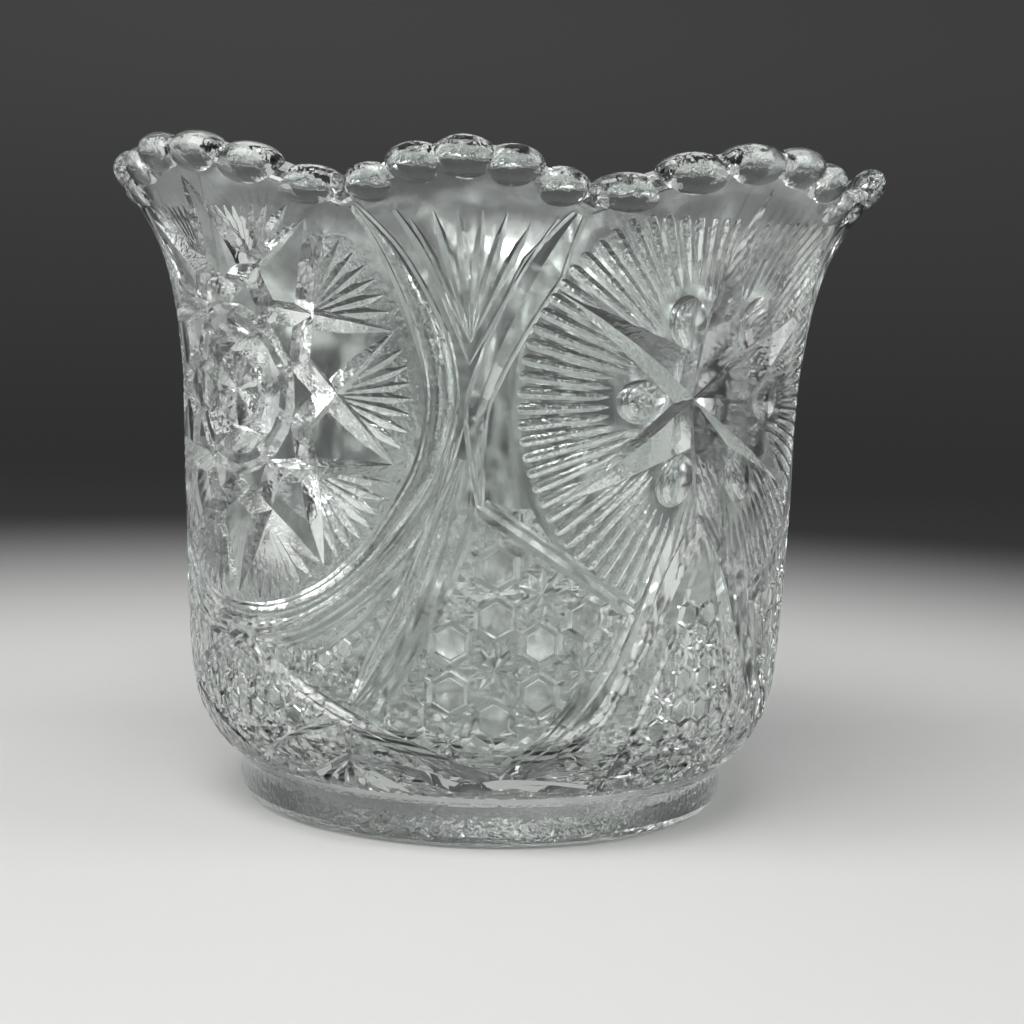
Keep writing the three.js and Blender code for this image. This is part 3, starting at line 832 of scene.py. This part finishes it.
# Beads and pattern on the plain body: union of the beads, then one cut with every groove and stamp
def makeHolderGroup():
    tree, given, wanted = newTree(
        "pressedPattern", "GeometryNodeTree",
        {
            "Geometry": ["Body"],
            "Object": ["Edge Roll", "Bead Points", *patternLines, *stampObjects],
            "Int": ["Repeats"],
            "Float": ["Repeat Width", "Arc Radius", "Start Angle", "Lift", "Sharp Angle"],
            "Material": glassSlots,
        },
        {"Geometry": ["Geometry"]},
    )
    node, put, calc = treeTools(tree)

    def joined(*parts):
        both = tree.nodes.new("GeometryNodeJoinGeometry")
        for part in parts:
            tree.links.new(part, both.inputs[0])
        return both.outputs[0]

    def mirrored(geometry):
        return joined(put("GeometryNodeTransform", {"Geometry": geometry, "Scale": (-1, 1, 1)}), geometry)

    def drawn(label):
        return node("GeometryNodeObjectInfo", {"Object": given[label]}).outputs["Geometry"]

    def finished(geometry, label, **chosen):
        return put("GeometryNodeSetMaterial", {"Geometry": geometry, "Material": given[label], **chosen})

    def madeOf(label):
        return put("GeometryNodeMaterialSelection", {"Material": given[label]})

    def stamped(points, shape, size, turn):
        turned = put("FunctionNodeEulerToRotation", {0: namedValue(tree, turn, "FLOAT_VECTOR")})
        return put("GeometryNodeInstanceOnPoints", {
            "Points": points, "Instance": shape, "Rotation": turned,
            "Scale": namedValue(tree, size, "FLOAT_VECTOR"),
        })

    def cutter(lines, steps, rounded):
        return useGroup(tree, grooveGroup, {
            "Lines": lines, "Steps": steps, "Rounded": rounded, "Lift": given["Lift"],
        })

    bead = put("GeometryNodeMeshUVSphere", {"Segments": 28, "Rings": 18, "Radius": 1.0})
    beads = stamped(drawn("Bead Points"), bead, "beadSize", "beadTurn")
    rimmed = node("GeometryNodeMeshBoolean", operation="UNION", solver="MANIFOLD")
    for part in (finished(joined(drawn("Edge Roll"), beads), "satinGlass"), given["Body"]):
        tree.links.new(part, rimmed.inputs[1])

    frosted = finished(joined(
        cutter(drawn("Frosted Lines"), 2, False),
        cutter(drawn("Flute Lines"), 5, True),
    ), "grainedGlass")
    ball = put("GeometryNodeMeshUVSphere", {"Segments": 28, "Rings": 20, "Radius": 1.0})
    prism = node("GeometryNodeMeshCylinder", {"Vertices": 6, "Radius": 1.0, "Depth": 2.0}).outputs["Mesh"]
    upright = put("GeometryNodeTransform", {"Geometry": prism, "Rotation": (0, 0, math.radians(30))})
    buttons = put("GeometryNodeRealizeInstances", {
        "Geometry": stamped(drawn("Button Points"), upright, "stampSize", "stampTurn"),
    })
    mirroredButtons = put("GeometryNodeFlipFaces", {
        "Mesh": put("GeometryNodeTransform", {"Geometry": buttons, "Scale": (-1, 1, 1)}),
    })
    dishes = put("GeometryNodeRealizeInstances", {
        "Geometry": stamped(drawn("Dish Points"), ball, "stampSize", "stampTurn"),
    })
    satin = finished(joined(
        cutter(drawn("Satin Lines"), 2, False),
        cutter(mirrored(drawn("Mirrored Bands")), 8, True),
    ), "satinGlass")
    clear = finished(joined(
        cutter(mirrored(joined(drawn("Mirrored Fine Lines"), drawn("Mirrored Clear Lines"))), 2, False),
        dishes, buttons, mirroredButtons,
    ), "clearGlass")

    along = put("ShaderNodeCombineXYZ", {0: given["Repeat Width"]})
    repeat = put("GeometryNodeMeshLine", {"Count": given["Repeats"], "Offset": along})
    cutters = joined(frosted, satin, clear)
    cutters = put("GeometryNodeInstanceOnPoints", {"Points": repeat, "Instance": cutters})
    cutters = put("GeometryNodeRealizeInstances", {"Geometry": cutters})
    place = useGroup(tree, wallGroup, {
        "Flat Position": put("GeometryNodeInputPosition"),
        "Arc Radius": given["Arc Radius"], "Start Angle": given["Start Angle"],
    })
    cutters = put("GeometryNodeSetPosition", {"Geometry": cutters, "Position": place})
    island = node("GeometryNodeInputMeshIsland").outputs["Island Index"]
    apart = put("GeometryNodeSplitToInstances", {"Geometry": cutters, "Group ID": island}, domain="POINT")
    cut = put(
        "GeometryNodeMeshBoolean", {0: rimmed.outputs[0], 1: apart},
        operation="DIFFERENCE", solver="MANIFOLD",
    )
    soft = calc("LESS_THAN", put("GeometryNodeInputMeshEdgeAngle"), given["Sharp Angle"])
    smooth = put("GeometryNodeSetShadeSmooth", {"Geometry": cut, "Shade Smooth": True}, domain="FACE")
    smooth = put("GeometryNodeSetShadeSmooth", {"Geometry": smooth, "Shade Smooth": soft}, domain="EDGE")
    small = put("GeometryNodeTransform", {"Geometry": smooth, "Scale": (0.001, 0.001, 0.001)})
    plain = put("GeometryNodeRealizeInstances", {"Geometry": small})
    other = madeOf("wallGlass")
    for label in ("satinGlass", "grainedGlass", "plungerGlass"):
        other = put("FunctionNodeBooleanMath", {0: other, 1: madeOf(label)}, operation="OR")
    rest = put("FunctionNodeBooleanMath", {0: other}, operation="NOT")
    tree.links.new(finished(plain, "clearGlass", Selection=rest), wanted[0])
    return tree


holderGroup = makeHolderGroup()


def applyNodes(target, tree, values, name):
    modifier = target.modifiers.new(tree.name, "NODES")
    modifier.node_group = tree
    sockets = {item.name: item.identifier for item in tree.interface.items_tree if item.in_out == "INPUT"}
    for label, value in values.items():
        modifier[sockets[label]] = value
    target.update_tag()
    depsgraph = bpy.context.evaluated_depsgraph_get()
    mesh = bpy.data.meshes.new_from_object(target.evaluated_get(depsgraph), depsgraph=depsgraph)
    mesh.name = name
    target.modifiers.remove(modifier)
    old = target.data
    target.data = mesh
    bpy.data.meshes.remove(old)


# Where the outer wall carries a pressed ground: round the star, and low down between the medallions
groundLimits = {
    "starReach": 31.4,
    "starTop": 87.0,
    "lowFrom": 8.0,
    "lowTo": 50.5,
    "clearOfStar": 37.4,
    "clearOfRays": 31.7,
}


def makeGroundGroup():
    tree, given, wanted = newTree(
        "pressedGround", "ShaderNodeTree",
        {"Float": ["Arc Radius", "Start Angle"], "Vector": ["Star", "Rays"]},
        {"Float": ["Around Star", "Low Ground"]},
    )
    node, put, calc = treeTools(tree)
    place = node("ShaderNodeTexCoord").outputs["Object"]
    x, y, z = node("ShaderNodeSeparateXYZ", {0: place}).outputs
    turn = calc("SUBTRACT", calc("ARCTAN2", x, calc("MULTIPLY", y, -1.0)), given["Start Angle"])
    folded = calc("MULTIPLY", calc("PINGPONG", turn, math.pi / 2), given["Arc Radius"])
    height = calc("MULTIPLY", z, 1000.0)
    flat = put("ShaderNodeCombineXYZ", {0: folded, 1: height})
    fromStar = vectorNode(tree, "SUBTRACT", flat, given["Star"])
    starReach = node("ShaderNodeVectorMath", {0: fromStar}, operation="LENGTH").outputs["Value"]
    fromRays = vectorNode(tree, "SUBTRACT", flat, given["Rays"])
    rayReach = node("ShaderNodeVectorMath", {0: fromRays}, operation="LENGTH").outputs["Value"]
    across, up, _ = node("ShaderNodeSeparateXYZ", {0: fromStar}).outputs
    half = math.pi / starMedallion["points"]
    off = calc("SUBTRACT", half, calc("PINGPONG", calc("ARCTAN2", up, across), half))
    tipX, tipY = starMedallion["tip"], 0.0
    nodeX, nodeY = polar((0, 0), starMedallion["node"], math.degrees(half))
    alongTip = calc("SUBTRACT", calc("MULTIPLY", starReach, calc("COSINE", off)), tipX)
    besideTip = calc("MULTIPLY", starReach, calc("SINE", off))
    side = calc("ADD", calc("MULTIPLY", besideTip, tipX - nodeX), calc("MULTIPLY", alongTip, nodeY - tipY))
    outside = calc("GREATER_THAN", side, 0.0)
    around = calc("MULTIPLY", outside, calc("LESS_THAN", starReach, groundLimits["starReach"]))
    around = calc("MULTIPLY", around, calc("LESS_THAN", height, groundLimits["starTop"]))
    low = calc(
        "MULTIPLY", calc("GREATER_THAN", height, groundLimits["lowFrom"]),
        calc("LESS_THAN", height, groundLimits["lowTo"]),
    )
    clearOf = calc(
        "MULTIPLY", calc("GREATER_THAN", starReach, groundLimits["clearOfStar"]),
        calc("GREATER_THAN", rayReach, groundLimits["clearOfRays"]),
    )
    tree.links.new(around, wanted[0])
    tree.links.new(calc("MULTIPLY", low, clearOf), wanted[1])
    return tree


# Finishes of the glass: heights are in metres, scales are per metre
finish = {
    "colour": (0.945, 0.985, 0.96, 1),
    "ior": 1.52,
    "waveScale": 90.0,
    "waveHeight": 0.00003,
    "grainScale": 1100.0,
    "grainHeight": 0.00018,
    "facetScale": 640.0,
    "facetHeight": 0.0004,
    "patchScale": 420.0,
    "patchRange": (0.35, 0.65),
    "smoothRoughness": 0.012,
    "plungerRoughness": 0.125,
    "grainRoughness": 0.05,
    "lowGroundFrost": 0.3,
    "satinFrost": 0.45,
}


# Grain and small facets of the pressed grounds, in every finish: Frost 0 is polished, 1 is fully grained
def makeGrainGroup():
    tree, given, wanted = newTree(
        "glassGrain", "ShaderNodeTree",
        {"Float": [
            "Frost", "Facets", "Grain Scale", "Grain Height", "Facet Scale", "Facet Height", "Wave Height",
            "Smooth Roughness", "Grain Roughness",
        ]},
        {"Vector": ["Normal"], "Float": ["Roughness"]},
    )
    node, put, calc = treeTools(tree)
    place = node("ShaderNodeTexCoord").outputs["Object"]

    def noise(scale, detail, roughness=0.5):
        return put("ShaderNodeTexNoise", {
            "Vector": place, "Scale": scale, "Detail": detail, "Roughness": roughness,
        })

    def bumped(height, distance, **before):
        return put("ShaderNodeBump", {"Strength": 1.0, "Distance": distance, "Height": height, **before})

    waves = noise(finish["waveScale"], 2.0)
    grain = noise(given["Grain Scale"], 1.0)
    cells = put(
        "ShaderNodeTexVoronoi", {"Vector": place, "Scale": given["Facet Scale"]}, distance="MANHATTAN",
    )
    patches = noise(finish["patchScale"], 2.0, 0.6)
    facetHeight = calc("MULTIPLY", given["Facet Height"], given["Facets"])
    grainHeight = calc("MULTIPLY", given["Grain Height"], given["Frost"])
    broad = bumped(waves, given["Wave Height"])
    faceted = bumped(cells, facetHeight, Normal=broad)
    fine = bumped(grain, grainHeight, Normal=faceted)
    patchy = dict(zip(("From Min", "From Max"), finish["patchRange"]))
    share = put("ShaderNodeMapRange", {"Value": patches, **patchy, "To Min": 0.5})
    rough = calc("MULTIPLY", calc("MULTIPLY", share, given["Grain Roughness"]), given["Frost"])
    tree.links.new(fine, wanted[0])
    tree.links.new(calc("ADD", rough, given["Smooth Roughness"]), wanted[1])
    return tree


groundGroup = makeGroundGroup()
grainGroup = makeGrainGroup()


def glassMaterial(name, frost, smooth=finish["smoothRoughness"]):
    material = bpy.data.materials.new(name)
    material.use_nodes = True
    tree = material.node_tree
    shader = tree.nodes["Principled BSDF"]
    shader.inputs["Base Color"].default_value = finish["colour"]
    shader.inputs["Metallic"].default_value = 0.0
    shader.inputs["IOR"].default_value = finish["ior"]
    shader.inputs["Transmission Weight"].default_value = 1.0
    facets = 0.0
    if frost == "grounds":
        ground = addNode(tree, "ShaderNodeGroup", node_tree=groundGroup)
        ground.inputs["Arc Radius"].default_value = wall["arcRadius"]
        ground.inputs["Start Angle"].default_value = math.radians(wall["starAngle"])
        ground.inputs["Star"].default_value = (*pattern["star"], 0)
        ground.inputs["Rays"].default_value = (*pattern["rays"], 0)
        facets = ground.outputs["Low Ground"]
        low = mathNode(tree, "MULTIPLY", facets, finish["lowGroundFrost"])
        frost = mathNode(tree, "ADD", ground.outputs["Around Star"], low)
    grain = addNode(tree, "ShaderNodeGroup", node_tree=grainGroup)
    for label, value in {
        "Frost": frost, "Facets": facets,
        "Grain Scale": finish["grainScale"], "Grain Height": finish["grainHeight"],
        "Facet Scale": finish["facetScale"], "Facet Height": finish["facetHeight"],
        "Wave Height": finish["waveHeight"],
        "Smooth Roughness": smooth, "Grain Roughness": finish["grainRoughness"],
    }.items():
        feed(tree, value, grain.inputs[label])
    for label in ("Normal", "Roughness"):
        tree.links.new(grain.outputs[label], shader.inputs[label])
    return material


glasses = dict(zip(glassSlots, (
    glassMaterial("clearGlass", 0.0),
    glassMaterial("wallGlass", "grounds"),
    glassMaterial("satinGlass", finish["satinFrost"]),
    glassMaterial("grainedGlass", 1.0),
    glassMaterial("plungerGlass", 0.0, finish["plungerRoughness"]),
)))
for glass in glasses.values():
    holder.data.materials.append(glass)

applyNodes(holder, holderGroup, {
    "Edge Roll": edgeRoll,
    "Bead Points": beadPoints,
    **patternLines,
    **stampObjects,
    "Repeats": 2,
    "Repeat Width": wall["arcRadius"] * math.pi,
    "Arc Radius": wall["arcRadius"],
    "Start Angle": math.radians(wall["starAngle"]),
    "Lift": 2.2,
    "Sharp Angle": math.radians(16),
    **glasses,
}, "glassHolder")
for drawing in (edgeRoll, beadPoints, *patternLines.values(), *stampObjects.values()):
    bpy.data.objects.remove(drawing)
triangles = sum(len(p.vertices) - 2 for p in holder.data.polygons)
counts = [0] * len(holder.data.materials)
for face in holder.data.polygons:
    counts[face.material_index] += 1
print("pattern cut,", triangles, "triangles", {m.name: n for m, n in zip(holder.data.materials, counts)})

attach(holder, "root")
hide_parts("glass_spoon_holder")

# Pale floor round the object, darkening to the dark backdrop, which is no wider than the picture needs. The
# floor's fade from pale to dark is painted light: a painted pool of light round the object, like a studio
# vignette.
stage = {
    "floor": (0.70, 0.70, 0.69, 1),
    "backdrop": (0.03, 0.03, 0.032, 1),
    "paleTo": 0.14,
    "darkFrom": 0.4,
    "front": -1.2,
    "bendFrom": 0.5,
    "bend": 0.25,
    "bendSteps": 12,
    "height": 0.8,
    "floorHalf": 1.7,
    "backHalf": 0.8,
}


def mixed(tree, share, first, second):
    return addNode(tree, "ShaderNodeMix", {0: share, 6: first, 7: second}, data_type="RGBA").outputs[2]


def makeSweep():
    outline = [(stage["front"], 0.0, stage["floorHalf"]), (stage["bendFrom"], 0.0, stage["floorHalf"])]
    for i in range(stage["bendSteps"] + 1):
        turn = math.radians(90 * i / stage["bendSteps"])
        back, rise = stage["bend"] * math.sin(turn), stage["bend"] * (1 - math.cos(turn))
        outline.append((stage["bendFrom"] + back, rise, stage["backHalf"]))
    outline.append((stage["bendFrom"] + stage["bend"], stage["height"], stage["backHalf"]))
    vertices, faces = [], []
    for y, z, half in outline:
        vertices += [(-half, y, z), (half, y, z)]
    for i in range(len(outline) - 1):
        if outline[i][:2] != outline[i + 1][:2]:
            faces.append((2 * i, 2 * i + 1, 2 * i + 3, 2 * i + 2))
    sweep = meshObject("sweep", vertices, faces=faces)
    for face in sweep.data.polygons:
        face.use_smooth = True
    material = bpy.data.materials.new("paleSweep")
    material.use_nodes = True
    tree = material.node_tree
    shader = tree.nodes["Principled BSDF"]
    place = addNode(tree, "ShaderNodeTexCoord").outputs["Object"]
    away = addNode(tree, "ShaderNodeVectorMath", {0: place}, operation="LENGTH").outputs["Value"]
    # Painted pool of light: the floor is pale near the object and fades to the backdrop's dark with distance
    # from it
    share = outputOf(
        tree, "ShaderNodeMapRange",
        {"Value": away, "From Min": stage["paleTo"], "From Max": stage["darkFrom"]},
        interpolation_type="SMOOTHSTEP",
    )
    colour = mixed(tree, share, stage["floor"], stage["backdrop"])
    tree.links.new(colour, shader.inputs["Base Color"])
    shader.inputs["Roughness"].default_value = 0.6
    sweep.data.materials.append(material)
    return sweep


sweep = makeSweep()

lights = {
    "softTop": {"place": (-0.12, -0.38, 0.66), "aim": (0, 0, 0.05), "size": (0.5, 0.4), "power": 3.6},
    "softLeft": {"place": (-0.72, -0.25, 0.4), "aim": (0, 0, 0.06), "size": (0.4, 0.5), "power": 2.9},
    "softRight": {"place": (0.78, -0.15, 0.35), "aim": (0, 0, 0.06), "size": (0.4, 0.5), "power": 2.5},
}
for name, light in lights.items():
    data = bpy.data.lights.new(name, "AREA")
    data.shape = "RECTANGLE"
    data.size, data.size_y = light["size"]
    data.energy = light["power"]
    lamp = bpy.data.objects.new(name, data)
    lamp.location = light["place"]
    lamp.rotation_euler = (Vector(light["aim"]) - Vector(light["place"])).to_track_quat("-Z", "Y").to_euler()
    bpy.context.scene.collection.objects.link(lamp)

world = bpy.data.worlds.new("studio")
bpy.context.scene.world = world
world.use_nodes = True
surround = {
    "light": (0.3, 0.3, 0.303, 1),
    "throughGlass": (0.5, 0.5, 0.505, 1),
    "behind": (0.042, 0.042, 0.043, 1),
}
worldTree = world.node_tree
seen = addNode(worldTree, "ShaderNodeLightPath").outputs
inGlass = mathNode(worldTree, "MAXIMUM", seen["Is Glossy Ray"], seen["Is Transmission Ray"])
glow = mixed(worldTree, inGlass, surround["light"], surround["throughGlass"])
glow = mixed(worldTree, seen["Is Camera Ray"], glow, surround["behind"])
worldTree.links.new(glow, worldTree.nodes["Background"].inputs["Color"])
worldTree.nodes["Background"].inputs["Strength"].default_value = 1.0

camera = {"place": (0, -0.3332, 0.0815), "down": 6.276, "roll": 1.651, "pan": 0.662, "lens": 74.2}


def makeCamera():
    down, roll, pan = (math.radians(camera[key]) for key in ("down", "roll", "pan"))
    forward = Vector((math.sin(pan) * math.cos(down), math.cos(pan) * math.cos(down), -math.sin(down)))
    right = Vector((math.cos(pan), -math.sin(pan), 0))
    up = right.cross(forward)
    acrossFrame = right * math.cos(roll) + up * math.sin(roll)
    upFrame = up * math.cos(roll) - right * math.sin(roll)
    data = bpy.data.cameras.new("photoView")
    data.lens = camera["lens"]
    data.sensor_width = 36
    data.clip_start, data.clip_end = 0.01, 20
    made = bpy.data.objects.new("photoView", data)
    turn = Matrix((acrossFrame, upFrame, -forward)).transposed()
    made.matrix_world = Matrix.Translation(camera["place"]) @ turn.to_4x4()
    bpy.context.scene.collection.objects.link(made)
    bpy.context.scene.camera = made


makeCamera()
bpy.context.scene.view_settings.view_transform = "Standard"

print("scene ready")
